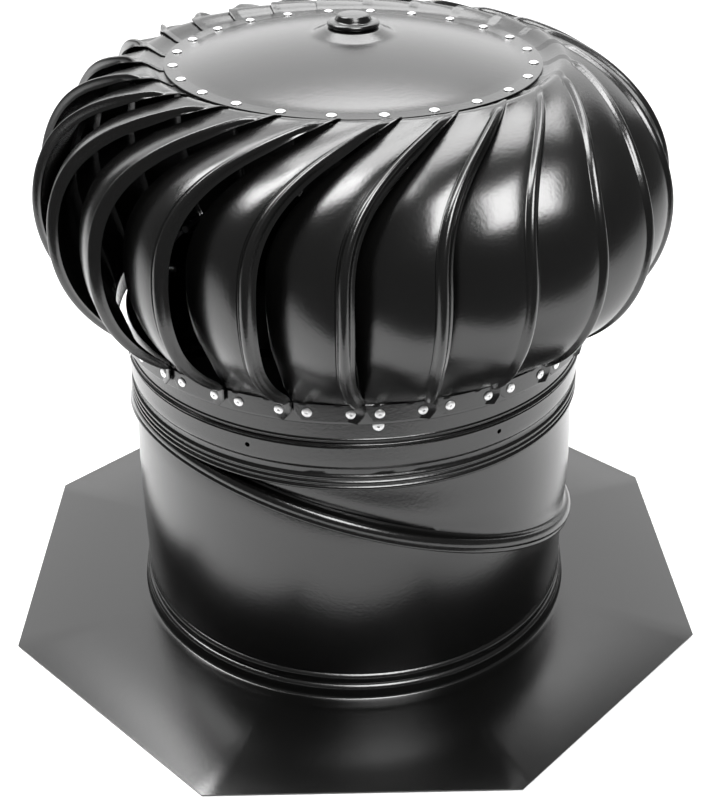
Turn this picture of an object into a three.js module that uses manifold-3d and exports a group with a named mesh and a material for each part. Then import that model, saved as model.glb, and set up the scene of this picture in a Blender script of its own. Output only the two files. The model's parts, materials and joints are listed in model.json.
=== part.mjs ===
// Wind-driven roof turbine ventilator on an adjustable-pitch base.
// Millimetres, +Z up. The origin is on the underside of the roof flashing, on the axis of the duct.
// The front of the object faces -Y. Azimuths are measured from +X, anticlockwise from above.

import * as THREE from "three";
import { mergeVertices } from "three/addons/utils/BufferGeometryUtils.js";
import Module from "manifold-3d";

const wasm = await Module();
wasm.setup();

const TAU = 2 * Math.PI;
const radians = THREE.MathUtils.degToRad;
const degrees = THREE.MathUtils.radToDeg;
const mix = THREE.MathUtils.lerp;

// ---------------------------------------------------------------- driving dimensions

const GAP = 0.4; // clearance between pieces that touch or slide on each other
const SHEET = 0.8; // pipe, collar, disc and vane sheet
const ROUND = 40; // facets round the large turned pieces
const SMALL_ROUND = 20; // facets round the shaft, bearing and hub pieces

// roof flashing
const FLASHING_FLATS = 474; // across the flats of the octagon
const FLASHING_SHEET = 1;
const CURB_HEIGHT = 11.4; // the rolled curb that holds the pipe's foot

// duct pipes
const PIPE_R = 152.4;
const ROLL = 2.4; // how far the roll at the pipe's foot stands out
const ROLL_HEIGHT = 8;
const RIDGE_HEIGHT = 17; // middle of the small ridge above the curb
const SEAM_HEIGHT = 107; // the slanted swivel seam, on the duct's axis
const SEAM_TILT = radians(19.8);
const SEAM_AZIMUTH = radians(35.6); // the side where the seam is lowest
const SEAM_FLARE = 5.6; // how much wider the pipes are in the plane of the seam
const SEAM_FLANGE = 3; // the lower pipe's flange, held inside the upper pipe's bead
const BEAD_HALF = 4; // half the height of the bead
const PIPE_TAPER = 1.4; // how much smaller the upper pipe is inside the collar
const PIPE_IN_COLLAR = 32.6;

// throat collar, slipped over the upper pipe
const COLLAR_HEIGHT = 61.6;
const COLLAR_RIDGE = 1.4;
const COLLAR_HOLES = 6;
const COLLAR_HOLE_R = 1.6;
const COLLAR_HOLE_HEIGHT = 24.6; // above the collar's lower edge

// rotor
const VANES = 24;
const RING_HEIGHT = 14;
const RING_ROOM = 4.6; // between the collar and the bottom ring
const RING_DROP = 11; // how far the ring hangs below the collar's top
const ROTOR_RISE = 153.4; // from the ring's top to the disc's flange
const BULGE = 39.9; // how far the vanes swell out beyond their lower tabs
const WIDEST_RISE = 72; // the widest level, above the ring's top
const CROWN = 6.2; // how far the vanes' outline rises above the disc's flange
const BULGE_STEPS = 6;
const VANE_AZIMUTH = radians(12.3); // outer edge of the first vane, at the widest level
const LOUVRE_ANGLE = radians(2); // between the edges of neighbouring vanes, at the widest level
const TAB_ANGLE = radians(0.5); // between neighbouring tabs
const LOUVRE_DEPTH = 16; // how far a vane's inner edge lies inside its outer edge
const LIP = 5; // the folded lip on the inner edge
const FLANGE = 4; // the folded flange on the outer edge
const HEM_SHARE = 0.07; // how far in from each side the folds lie at a vane's flat ends
const SWEEP_START = radians(10); // above this the outer edge sweeps round towards the disc
const TOP_SWEEP = radians(23.5);
const TOP_TAB_SWEEP = radians(26.6);
const FOOT_SWEEP = radians(3.7);
const DISC_R = 116;
const DISC_FLANGE = 10; // width of the disc's riveting flange
const DOME_RISE = 16;
const BOSS_R = 24.8;
const BOSS_TOP_R = 17;
const BOSS_TOP_RISE = 19; // above the disc's flange
const KNOB_R = 12;
const KNOB_HEIGHT = 7.6;

// shaft, bearings and internal brace
const SHAFT_R = 5;
const JOURNAL_R = 4.2; // the shaft's thinner top, inside the ball bearing
const RACE_WALL = 1.6;
const BALLS = 8;
const BALL_R = 1.5;
const BEARING_HEIGHT = 7;
const BEARING_DROP = 4.5; // from the boss's top down to the bearing
const HOUSING_WALL = 1.4;
const HOUSING_LENGTH = 39.4; // the skirt below the boss's top
const BUSH_HEIGHT = 8;
const HUB_R = 15;
const HUB_HEIGHT = 22;
const HUB_ROOM = 20; // between the hub and the rotor's housing
const LEGS = 3;
const LEG_AZIMUTH = radians(-85.9);
const LEG_R = 2.5;
const LEG_SINK = 6; // how far a rod goes into the hub
const WIRE_R = 1.2;
const TAB = 1.8; // thickness of the wire's flattened ends
const EYE_R = 3.6;
const EYE_HOLE_R = 1.6;
const EYE_INSET = 24; // from the wall of the collar to the eye
const EYE_RISE = 37; // from the screw to the eye
const SCREW_R = 2;
const SCREW_HEAD_R = 3.5;
const SCREW_DROP = 15; // from the collar's top down to the screw

// ---------------------------------------------------------------- derived sizes

// The radius of a faceted bore that a faceted piece of this radius can turn in.
const boreFor = (r, facets = ROUND) => (r + GAP) / Math.cos(Math.PI / facets);

const pipeBottom = FLASHING_SHEET + GAP;
const rollTop = pipeBottom + ROLL_HEIGHT;
const rollR = PIPE_R + ROLL;
const curbBoreR = boreFor(rollR);

const seamWallR = PIPE_R + SEAM_FLARE;
const seamFlangeR = seamWallR + SEAM_FLANGE;
const beadBoreR = boreFor(seamFlangeR);
const beadR = beadBoreR + SHEET;
const seamTop = SEAM_HEIGHT + BEAD_HALF * Math.cos(SEAM_TILT) + beadR * Math.sin(SEAM_TILT);
const upperPipeR = PIPE_R - PIPE_TAPER;

const collarBottom = seamTop + GAP;
const collarTop = collarBottom + COLLAR_HEIGHT;
const collarBoreR = boreFor(upperPipeR);
const collarR = collarBoreR + SHEET;

const ringBottom = collarTop - RING_DROP;
const ringTop = ringBottom + RING_HEIGHT;
const ringBoreR = collarR + COLLAR_RIDGE + RING_ROOM;
const ringR = ringBoreR + SHEET;
const tabR = ringR + GAP + SHEET / 2; // middle of the vanes' lower tabs
const discFlangeZ = ringTop + ROTOR_RISE;
const discFootR = DISC_R - DISC_FLANGE;
const topTabZ = discFlangeZ - SHEET - GAP - SHEET / 2; // middle of the vanes' upper tabs
const bossTop = discFlangeZ + BOSS_TOP_RISE;

const innerRaceR = boreFor(JOURNAL_R, SMALL_ROUND);
const ballPitchR = innerRaceR + RACE_WALL + GAP + BALL_R;
const outerRaceR = boreFor(ballPitchR + BALL_R, SMALL_ROUND);
const bearingR = outerRaceR + RACE_WALL;
const bearingTop = bossTop - BEARING_DROP;
const bearingBottom = bearingTop - BEARING_HEIGHT;
const housingBoreR = boreFor(bearingR, SMALL_ROUND);
const housingR = housingBoreR + HOUSING_WALL;
const housingBottom = bossTop - HOUSING_LENGTH;

const hubTop = housingBottom - HUB_ROOM;
const hubBottom = hubTop - HUB_HEIGHT;
const screwZ = collarTop - SCREW_DROP;
const wallR = collarBoreR * Math.cos(Math.PI / ROUND); // the flats inside the collar
const wireTabR = wallR - GAP - TAB / 2;

// ---------------------------------------------------------------- solids

// A closed geometry as a manifold-3d solid, turned right side out.
function solid(geometry) {
  const bare = new THREE.BufferGeometry();
  const loose = geometry.index ? geometry.toNonIndexed() : geometry;
  bare.setAttribute("position", loose.getAttribute("position"));
  const merged = mergeVertices(bare, 1e-4);
  const triVerts = new Uint32Array(merged.index.array);
  const vertProperties = new Float32Array(merged.attributes.position.array);
  const made = () => new wasm.Manifold(new wasm.Mesh({ numProp: 3, vertProperties, triVerts }));
  if (made().volume() < 0) {
    for (let i = 0; i < triVerts.length; i += 3) {
      [triVerts[i + 1], triVerts[i + 2]] = [triVerts[i + 2], triVerts[i + 1]];
    }
  }
  return made();
}

// A named mesh of a manifold-3d solid.
function piece(name, made, material) {
  const { vertProperties, triVerts } = made.getMesh();
  const geometry = new THREE.BufferGeometry();
  geometry.setAttribute("position", new THREE.BufferAttribute(vertProperties, 3));
  geometry.setIndex(new THREE.BufferAttribute(triVerts, 1));
  geometry.computeVertexNormals();
  const mesh = new THREE.Mesh(geometry, material);
  mesh.name = name;
  return mesh;
}

// A skin over rows of points, each row closed on itself. The last row either meets the first one,
// or both are end faces of a sheet, whose row goes out along one face and back along the other.
function skinned(rows, endFaces = false) {
  const around = rows[0].length;
  const corners = [];
  const quad = (a, b, c, d) => corners.push(a, b, c, a, c, d);
  for (let row = 0; row < rows.length - (endFaces ? 1 : 0); row++) {
    const [here, there] = [row * around, ((row + 1) % rows.length) * around];
    for (let i = 0; i < around; i++) {
      const j = (i + 1) % around;
      // a sheet's two faces are split along matching diagonals, so that they stay apart where it twists
      if (endFaces && i >= around / 2) quad(here + j, there + j, there + i, here + i);
      else quad(here + i, here + j, there + j, there + i);
    }
  }
  if (endFaces) {
    const last = (rows.length - 1) * around;
    for (let i = 0; i + 1 < around / 2; i++) {
      const [a, b, c, d] = [i, i + 1, around - 2 - i, around - 1 - i];
      quad(d, c, b, a);
      quad(last + a, last + b, last + c, last + d);
    }
  }
  const positions = rows.flat().flatMap((point) => point.toArray());
  const geometry = new THREE.BufferGeometry();
  geometry.setAttribute("position", new THREE.Float32BufferAttribute(positions, 3));
  geometry.setIndex(corners);
  return solid(geometry);
}

// A solid turned about Z from [radius, height] points. A profile off the axis closes on itself.
function turned(profile, facets = ROUND) {
  const points = profile.map(([r, z]) => new THREE.Vector2(r, z));
  if (profile[0][0] > 0) points.push(points[0].clone());
  return solid(new THREE.LatheGeometry(points, facets).rotateX(Math.PI / 2));
}

// A plain ring between two radii and two heights.
function ring(innerR, outerR, bottom, top, facets = SMALL_ROUND) {
  return turned([[innerR, bottom], [outerR, bottom], [outerR, top], [innerR, top]], facets);
}

// A round bar between two points.
function bar(from, to, radius, facets = 8) {
  const along = to.clone().sub(from);
  const middle = from.clone().add(to).multiplyScalar(0.5);
  const up = new THREE.Vector3(0, 1, 0);
  const turn = new THREE.Quaternion().setFromUnitVectors(up, along.clone().normalize());
  const geometry = new THREE.CylinderGeometry(radius, radius, along.length(), facets);
  return solid(geometry.applyQuaternion(turn).translate(middle.x, middle.y, middle.z));
}

function polar(r, z, azimuth) {
  return new THREE.Vector3(r * Math.cos(azimuth), r * Math.sin(azimuth), z);
}

// ---------------------------------------------------------------- duct

const seamNormal = polar(Math.sin(SEAM_TILT), Math.cos(SEAM_TILT), SEAM_AZIMUTH);
const seamFall = polar(Math.cos(SEAM_TILT), -Math.sin(SEAM_TILT), SEAM_AZIMUTH);
const level = polar(1, 0, SEAM_AZIMUTH);
const strike = polar(1, 0, SEAM_AZIMUTH + Math.PI / 2);

// A circle of points in the plane of two directions. Its corners line up with those of turned pieces.
function circle(centre, r, first, second) {
  return Array.from({ length: ROUND }, (_, i) => {
    const angle = (i / ROUND) * TAU - SEAM_AZIMUTH;
    const across = first.clone().multiplyScalar(r * Math.cos(angle));
    return across.addScaledVector(second, r * Math.sin(angle)).add(centre);
  });
}

// A level circle, and one parallel to the seam at a distance above its plane.
const flat = (z, r) => circle(new THREE.Vector3(0, 0, z), r, level, strike);
const slanted = (above, r) => {
  const centre = new THREE.Vector3(0, 0, SEAM_HEIGHT).addScaledVector(seamNormal, above);
  return circle(centre, r, seamFall, strike);
};

// An octagonal sheet with a curb that hooks over the roll at the foot of the pipe.
function flashing() {
  const cornerR = FLASHING_FLATS / 2 / Math.cos(Math.PI / 8);
  const corners = Array.from({ length: 8 }, (_, i) => polar(cornerR, 0, (i + 0.5) * (TAU / 8)));
  const outline = new THREE.Shape(corners.map(({ x, y }) => new THREE.Vector2(x, y)));
  outline.holes.push(new THREE.Path().absarc(0, 0, PIPE_R - 2 * ROLL, 0, TAU, true));
  const plate = new THREE.ExtrudeGeometry(outline, {
    depth: FLASHING_SHEET,
    bevelEnabled: false,
    curveSegments: ROUND / 2,
  });
  const lipR = boreFor(PIPE_R);
  const lipBottom = rollTop + GAP;
  const curb = turned([
    [curbBoreR, 0], [curbBoreR + SHEET, 0], [curbBoreR + SHEET, lipBottom], [curbBoreR, CURB_HEIGHT],
    [lipR, CURB_HEIGHT], [lipR, lipBottom], [curbBoreR, lipBottom],
  ]);
  return solid(plate).add(curb);
}

// A roll at the foot, a small ridge above the curb, and a thick flange in the slanted plane.
function lowerPipe() {
  const flangeHalf = BEAD_HALF / 2;
  const straight = BEAD_HALF + 1; // the wall is square to the seam where the bead's lip turns round it
  return skinned([
    flat(pipeBottom, PIPE_R), flat(pipeBottom + 1, rollR), flat(rollTop - 1, rollR), flat(rollTop, PIPE_R),
    flat(RIDGE_HEIGHT - 2, PIPE_R), flat(RIDGE_HEIGHT, PIPE_R + 1.4), flat(RIDGE_HEIGHT + 2, PIPE_R),
    slanted(-straight, seamWallR), slanted(-flangeHalf, seamWallR), slanted(-flangeHalf, seamFlangeR),
    slanted(flangeHalf, seamFlangeR), slanted(flangeHalf, seamWallR - SHEET), slanted(-straight, seamWallR - SHEET),
    flat(RIDGE_HEIGHT + 2, PIPE_R - SHEET), flat(pipeBottom, PIPE_R - SHEET),
  ]);
}

// A bead rolled round the lower pipe's flange, and above it a wall that tapers into the collar.
function upperPipe() {
  const lipR = boreFor(seamWallR);
  const chamfer = 1.4;
  const roof = BEAD_HALF - SHEET;
  const top = collarBottom + PIPE_IN_COLLAR;
  return skinned([
    slanted(-BEAD_HALF, lipR), slanted(-BEAD_HALF, beadR - chamfer), slanted(chamfer - BEAD_HALF, beadR),
    slanted(BEAD_HALF - chamfer, beadR), slanted(BEAD_HALF, beadR - chamfer), slanted(BEAD_HALF, seamWallR),
    flat(collarBottom + 5, upperPipeR), flat(top, upperPipeR), flat(top, upperPipeR - SHEET),
    flat(collarBottom + 5, upperPipeR - SHEET), slanted(roof, seamWallR - SHEET), slanted(roof, beadBoreR),
    slanted(-roof, beadBoreR), slanted(-roof, lipR),
  ]);
}

// The collar has a hem, a rounded rib and a flat band with a row of holes, under a narrower neck.
function throatCollar() {
  const ridgeR = collarR + COLLAR_RIDGE;
  const bandR = collarR + COLLAR_RIDGE / 2;
  let made = turned([
    [collarBoreR, collarBottom], [ridgeR, collarBottom], [ridgeR, collarBottom + 3], [collarR, collarBottom + 6],
    [ridgeR, collarBottom + 10], [collarR, collarBottom + 16], [bandR, collarBottom + 18],
    [bandR, collarBottom + 29], [ridgeR, collarBottom + 32], [collarR, collarBottom + 35],
    [collarR, collarTop], [collarBoreR, collarTop],
  ]);
  const drill = (azimuth, z, r) => {
    made = made.subtract(bar(polar(collarR - 12, z, azimuth), polar(collarR + 12, z, azimuth), r));
  };
  const firstHole = LEG_AZIMUTH + TAU / COLLAR_HOLES / 2;
  for (let i = 0; i < COLLAR_HOLES; i++) {
    drill(firstHole + (i / COLLAR_HOLES) * TAU, collarBottom + COLLAR_HOLE_HEIGHT, COLLAR_HOLE_R);
  }
  for (let i = 0; i < LEGS; i++) {
    drill(LEG_AZIMUTH + (i / LEGS) * TAU, screwZ, SCREW_R + GAP);
  }
  return made;
}

// ---------------------------------------------------------------- internal brace

// Each leg is drawn along +X, with the shaft on Z, and its group turns it to its azimuth.
// A screwed wire comes in from the collar, and a rod pinned beside its eye rises to the hub.
const eye = new THREE.Vector3(wireTabR - EYE_INSET, 0, screwZ + EYE_RISE);
const hubEntry = new THREE.Vector3(HUB_R, 0, (hubTop + hubBottom) / 2);
const rise = hubEntry.clone().sub(eye).normalize();
const beside = new THREE.Vector3(0, TAB / 2 + GAP + LEG_R, 0); // from the wire's plane to the rod's

// Turned pieces whose axis runs along Y through the eye, or along X through the screw.
const acrossEye = (profile, facets) => turned(profile, facets).rotate([-90, 0, 0]).translate(eye.toArray());
const throughWall = (profile, facets) => turned(profile, facets).rotate([0, 90, 0]).translate([0, 0, screwZ]);
const disc = (r, from, to) => [[0, from], [r, from], [r, to], [0, to]];

function braceWire() {
  const foot = new THREE.Vector3(wireTabR, 0, screwZ + 4);
  const bend = new THREE.Vector3(wireTabR, 0, eye.z - 20);
  const intoEye = eye.clone().addScaledVector(rise, 1 - EYE_R);
  const section = new THREE.Shape().absarc(0, 0, WIRE_R, 0, TAU);
  const wire = new THREE.ExtrudeGeometry(section, {
    steps: 8,
    curveSegments: 4,
    extrudePath: new THREE.QuadraticBezierCurve3(foot, bend, intoEye),
  });
  const footTab = new THREE.BoxGeometry(TAB, 10, 13).translate(wireTabR, 0, screwZ);
  return solid(wire)
    .add(solid(footTab))
    .subtract(throughWall(disc(SCREW_R + GAP, wireTabR - TAB, wireTabR + TAB), 8))
    .add(acrossEye(disc(EYE_R, -TAB / 2, TAB / 2), 12))
    .subtract(acrossEye(disc(EYE_HOLE_R, -TAB, TAB), 10));
}

function braceRod() {
  const near = TAB / 2 + GAP;
  const far = near + 2 * LEG_R;
  const from = eye.clone().addScaledVector(rise, 1).add(beside);
  const to = hubEntry.clone().addScaledVector(rise, LEG_SINK).add(beside);
  return bar(from, to, LEG_R)
    .add(acrossEye(disc(EYE_R + 0.6, near, far), 12))
    .subtract(acrossEye(disc(EYE_HOLE_R, near - 1, far + 1), 10));
}

function bracePin() {
  const pinR = EYE_HOLE_R - GAP;
  const headR = EYE_HOLE_R + 1;
  const near = TAB / 2 + GAP;
  const far = near + 2 * LEG_R + GAP;
  return acrossEye([
    [0, -near - 1], [headR, -near - 1], [headR, -near], [pinR, -near],
    [pinR, far], [headR, far], [headR, far + 1], [0, far + 1],
  ], 8);
}

function braceScrew() {
  const seat = collarR + GAP;
  return throughWall([
    [0, wireTabR - 6], [SCREW_R, wireTabR - 6], [SCREW_R, seat], [SCREW_HEAD_R, seat],
    [SCREW_HEAD_R, seat + 0.8], [SCREW_HEAD_R - 1.2, seat + 1.8], [0, seat + 2],
  ], 12);
}

function braceNut() {
  const seat = wireTabR - TAB / 2 - GAP;
  return throughWall(disc(2 * SCREW_R, seat - 3.2, seat), 6)
    .subtract(throughWall(disc(SCREW_R + GAP, seat - 6, seat + 1), 8));
}

function braceHub() {
  const edge = 1.5;
  const boreR = boreFor(SHAFT_R, SMALL_ROUND);
  let made = turned([
    [boreR, hubBottom], [HUB_R - edge, hubBottom], [HUB_R, hubBottom + edge],
    [HUB_R, hubTop - edge], [HUB_R - edge, hubTop], [boreR, hubTop],
  ], SMALL_ROUND);
  const outside = hubEntry.clone().addScaledVector(rise, -HUB_R).add(beside);
  const inside = hubEntry.clone().addScaledVector(rise, LEG_SINK + GAP).add(beside);
  const socket = bar(outside, inside, boreFor(LEG_R, 8));
  for (let i = 0; i < LEGS; i++) {
    made = made.subtract(socket.rotate([0, 0, degrees(LEG_AZIMUTH + (i / LEGS) * TAU)]));
  }
  return made;
}

// ---------------------------------------------------------------- shaft and bearings

// The shaft's collar rests on the hub, and its thinner top carries the ball bearing.
function shaft() {
  const seat = hubTop + GAP;
  const shoulder = bearingBottom - GAP;
  const top = bearingTop + 3;
  return turned([
    [0, hubBottom - 9], [SHAFT_R, hubBottom - 9], [SHAFT_R, seat], [SHAFT_R + 3, seat],
    [SHAFT_R + 3, seat + 3], [SHAFT_R, seat + 3], [SHAFT_R, shoulder],
    [JOURNAL_R, shoulder], [JOURNAL_R, top], [0, top],
  ], SMALL_ROUND);
}

function shaftNut() {
  const top = hubBottom - GAP;
  const boreR = boreFor(SHAFT_R, SMALL_ROUND);
  return turned(disc(SHAFT_R + 3.4, top - 6, top), 6).subtract(turned(disc(boreR, top - 8, top + 2), SMALL_ROUND));
}

function ballCage() {
  const middle = (bearingTop + bearingBottom) / 2;
  let cage = ring(ballPitchR - 0.5, ballPitchR + 0.5, middle - 0.6, middle + 0.6);
  for (let i = 0; i < BALLS; i++) {
    const { x, y } = polar(ballPitchR, 0, (i / BALLS) * TAU);
    cage = cage.add(solid(new THREE.SphereGeometry(BALL_R, 6, 4).translate(x, y, middle)));
  }
  return cage;
}

// A hat: a knob and a flange on top of the disc, and a skirt that goes down through its centre.
function bearingHousing() {
  const seat = bossTop + GAP;
  const knobTop = bossTop + KNOB_HEIGHT;
  const shoulderR = bearingR - RACE_WALL;
  return turned([
    [0, knobTop], [KNOB_R - 2, knobTop], [KNOB_R, knobTop - 2], [KNOB_R, seat + 3], [BOSS_TOP_R, seat + 2],
    [BOSS_TOP_R, seat], [housingR, seat], [housingR, housingBottom], [housingBoreR, housingBottom],
    [housingBoreR, bearingTop + GAP], [shoulderR, bearingTop + GAP], [shoulderR, seat + 1], [0, seat + 1],
  ], SMALL_ROUND);
}

// ---------------------------------------------------------------- rotor

function topDisc() {
  const dome = (r) => discFlangeZ + DOME_RISE * (1 - (r / discFootR) ** 2);
  const steps = 4;
  const arc = Array.from({ length: steps + 1 }, (_, i) => mix(discFootR - 2, BOSS_R, i / steps));
  const skin = [
    [DISC_R, discFlangeZ], [discFootR + 1, discFlangeZ], ...arc.map((r) => [r, dome(r)]),
    [BOSS_TOP_R, bossTop], [boreFor(housingR, SMALL_ROUND), bossTop],
  ];
  const underside = skin.map(([r, z]) => [r, z - SHEET]).reverse();
  return turned([...skin, ...underside]);
}

// In section, the vanes' outer edges follow part of an ellipse.
const bulgeCentreR = discFootR;
const bulgeOut = tabR + BULGE - bulgeCentreR;
const bulgeUp = ROTOR_RISE - WIDEST_RISE + CROWN;
const bulgeCentreZ = ringTop + WIDEST_RISE;
const bulgeStart = -Math.asin((WIDEST_RISE - 11) / bulgeUp);
const bulgeEnd = radians(76);
const vanePitch = TAU / VANES;

function bulgeStation(t) {
  const swept = Math.max(0, (t - SWEEP_START) / (bulgeEnd - SWEEP_START));
  const footward = Math.max(0, t / bulgeStart - 0.5);
  return {
    r: bulgeCentreR + bulgeOut * Math.cos(t),
    z: bulgeCentreZ + bulgeUp * Math.sin(t),
    sweep: TOP_SWEEP * swept ** 2.5 + FOOT_SWEEP * footward,
    open: 1 - Math.abs(t / bulgeEnd) ** 2.4,
  };
}

// The levels up a vane: its place in section, how far it has swept round, and how far its louvre opens.
function vaneStations() {
  const bulge = Array.from({ length: BULGE_STEPS + 1 }, (_, i) => mix(bulgeStart, bulgeEnd, i / BULGE_STEPS));
  return [
    { r: tabR, z: ringBottom + 3, sweep: FOOT_SWEEP, open: 0 },
    { r: tabR, z: ringTop, sweep: FOOT_SWEEP, open: 0 },
    ...bulge.map(bulgeStation),
    { r: DISC_R + 3, z: topTabZ, sweep: TOP_TAB_SWEEP, open: 0 },
    { r: discFootR, z: topTabZ, sweep: TOP_TAB_SWEEP, open: 0 },
  ];
}

// Across a vane: the lip, the inner edge, the middle, the outer edge and the flange.
function vaneGrid() {
  const stations = vaneStations();
  return stations.map(({ r, z, sweep, open }, i) => {
    const before = stations[Math.max(i - 1, 0)];
    const after = stations[Math.min(i + 1, stations.length - 1)];
    const along = new THREE.Vector2(after.r - before.r, after.z - before.z).normalize();
    const width = vanePitch - mix(TAB_ANGLE, LOUVRE_ANGLE, open);
    const point = (share, inward) =>
      polar(r - along.y * inward, z + along.x * inward, sweep - width * (1 - share));
    const depth = LOUVRE_DEPTH * open;
    const hem = HEM_SHARE * (1 - open);
    return [
      point(0, depth + LIP * open), point(hem, depth), point(0.5, 0.4 * depth), point(1 - hem, 0),
      point(1, FLANGE * open),
    ];
  });
}

// A sheet of even thickness over the vane's grid of points.
function vane() {
  const grid = vaneGrid();
  const at = (i, j) => {
    const line = grid[THREE.MathUtils.clamp(i, 0, grid.length - 1)];
    return line[THREE.MathUtils.clamp(j, 0, line.length - 1)].clone();
  };
  const normal = (i, j) => {
    const up = at(i + 1, j).sub(at(i - 1, j));
    return up.cross(at(i, j + 1).sub(at(i, j - 1))).normalize();
  };
  const rows = grid.map((line, i) => {
    const face = (side) => line.map((point, j) => point.clone().addScaledVector(normal(i, j), side));
    return [...face(SHEET / 2), ...face(-SHEET / 2).reverse()];
  });
  return skinned(rows, true);
}

// ---------------------------------------------------------------- materials

const paint = new THREE.MeshStandardMaterial({ color: 0x161616, roughness: 0.3, metalness: 0.5 });
const satinPaint = new THREE.MeshStandardMaterial({ color: 0x202020, roughness: 0.45, metalness: 0.5 });
const zinc = new THREE.MeshStandardMaterial({ color: 0xd8d8d6, roughness: 0.35, metalness: 0.9 });
const steel = new THREE.MeshStandardMaterial({ color: 0x9a9a98, roughness: 0.3, metalness: 1 });
const bronze = new THREE.MeshStandardMaterial({ color: 0xa5793f, roughness: 0.45, metalness: 0.9 });

// ---------------------------------------------------------------- assembly

const stator = new THREE.Group();
stator.add(
  piece("upper_pipe", upperPipe(), paint),
  piece("throat_collar", throatCollar(), paint),
  piece("brace_hub", braceHub(), satinPaint),
  piece("shaft", shaft(), steel),
  piece("shaft_nut", shaftNut(), zinc),
  piece("bearing_inner_race", ring(innerRaceR, innerRaceR + RACE_WALL, bearingBottom, bearingTop), steel),
  piece("shaft_clip", ring(innerRaceR, innerRaceR + 2, bearingTop + GAP, bearingTop + GAP + 1), steel),
);
const legPieces = [
  ["brace_wire", braceWire(), zinc],
  ["brace_rod", braceRod(), satinPaint],
  ["brace_pin", bracePin(), zinc],
  ["brace_screw", braceScrew(), zinc],
  ["brace_nut", braceNut(), zinc],
];
for (let i = 0; i < LEGS; i++) {
  const leg = new THREE.Group();
  leg.rotation.z = LEG_AZIMUTH + (i / LEGS) * TAU;
  leg.add(...legPieces.map(([name, made, material]) => piece(`${name}_${i + 1}`, made, material)));
  stator.add(leg);
}

const rotor = new THREE.Group();
const bushBottom = housingBottom + 2;
const retainerTop = bossTop - SHEET - GAP;
rotor.add(
  piece("bearing_outer_race", ring(outerRaceR, bearingR, bearingBottom, bearingTop), steel),
  piece("lower_bush", ring(boreFor(SHAFT_R, SMALL_ROUND), bearingR, bushBottom, bushBottom + BUSH_HEIGHT), bronze),
  piece("bearing_housing", bearingHousing(), paint),
  piece("housing_retainer", ring(boreFor(housingR, SMALL_ROUND), BOSS_TOP_R, retainerTop - 1, retainerTop), zinc),
  piece("top_disc", topDisc(), paint),
  piece("rotor_ring", ring(ringBoreR, ringR, ringBottom, ringTop, 2 * VANES), paint),
);
const vaneSolid = vane();
for (let i = 0; i < VANES; i++) {
  const mesh = piece(`vane_${String(i + 1).padStart(2, "0")}`, vaneSolid, paint);
  mesh.rotation.z = VANE_AZIMUTH + i * vanePitch;
  rotor.add(mesh);
}

const ventilator = new THREE.Group();
ventilator.add(
  piece("flashing", flashing(), satinPaint),
  piece("lower_pipe", lowerPipe(), paint),
  stator,
  piece("ball_cage", ballCage(), steel),
  rotor,
);

export default ventilator;
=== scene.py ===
"""Finished pieces, finishes and studio for a wind-driven roof turbine ventilator, built on its CAD frame."""

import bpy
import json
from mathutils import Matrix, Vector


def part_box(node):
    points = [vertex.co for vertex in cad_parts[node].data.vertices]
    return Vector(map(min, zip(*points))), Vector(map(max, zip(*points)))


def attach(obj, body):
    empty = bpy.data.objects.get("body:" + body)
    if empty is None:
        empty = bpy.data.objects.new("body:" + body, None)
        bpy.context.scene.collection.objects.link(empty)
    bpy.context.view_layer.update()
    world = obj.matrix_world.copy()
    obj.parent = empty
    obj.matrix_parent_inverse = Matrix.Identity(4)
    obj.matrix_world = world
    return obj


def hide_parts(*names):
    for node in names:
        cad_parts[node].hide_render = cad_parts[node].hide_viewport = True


bl_info = {
    "name": "Roof Turbine Ventilator",
    "version": (1, 0, 0),
    "blender": (4, 5, 0),
    "location": "View3D > Sidebar > Ventilator",
    "description": "Models the finished pieces of a roof turbine ventilator on its CAD frame",
    "category": "Add Mesh",
}

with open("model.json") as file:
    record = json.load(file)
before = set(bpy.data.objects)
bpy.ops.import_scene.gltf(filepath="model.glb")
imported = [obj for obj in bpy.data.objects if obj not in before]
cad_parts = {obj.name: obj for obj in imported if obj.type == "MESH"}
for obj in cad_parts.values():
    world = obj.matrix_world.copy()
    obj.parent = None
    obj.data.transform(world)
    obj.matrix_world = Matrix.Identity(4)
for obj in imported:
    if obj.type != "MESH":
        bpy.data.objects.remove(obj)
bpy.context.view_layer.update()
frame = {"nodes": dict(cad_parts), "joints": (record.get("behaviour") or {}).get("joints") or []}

import json
import math

import bpy
from bpy.props import FloatProperty, FloatVectorProperty, IntProperty, PointerProperty
from bpy.types import Operator, Panel, PropertyGroup
from mathutils import Matrix, Vector

MM = 0.001
TURN = 2 * math.pi

# ---------------------------------------------------------------- sizes taken from the frame

vane_nodes = sorted(name for name in frame["nodes"] if name.startswith("vane_"))
VANE_PITCH = TURN / len(vane_nodes)

swivel = next(joint for joint in frame["joints"] if joint["name"] == "pitch_swivel")
seam_axis = Vector(swivel["axis"])
SEAM_HEIGHT = swivel["pos_m"][2]
SEAM_TILT = math.acos(seam_axis.z)
SEAM_AZIMUTH = math.atan2(seam_axis.y, seam_axis.x)

FLASHING_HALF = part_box("flashing")[1][0]
CURB_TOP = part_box("flashing")[1][2]
COLLAR_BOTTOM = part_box("throat_collar")[0][2]
COLLAR_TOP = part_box("throat_collar")[1][2]
COLLAR_RIDGE_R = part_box("throat_collar")[1][0]
RING_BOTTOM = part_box("rotor_ring")[0][2]
RING_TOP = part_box("rotor_ring")[1][2]
RING_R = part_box("rotor_ring")[1][0]
DISC_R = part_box("top_disc")[1][0]
BOSS_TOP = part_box("top_disc")[1][2]
KNOB_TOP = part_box("bearing_housing")[1][2]
HOUSING_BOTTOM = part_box("bearing_housing")[0][2]

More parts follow.
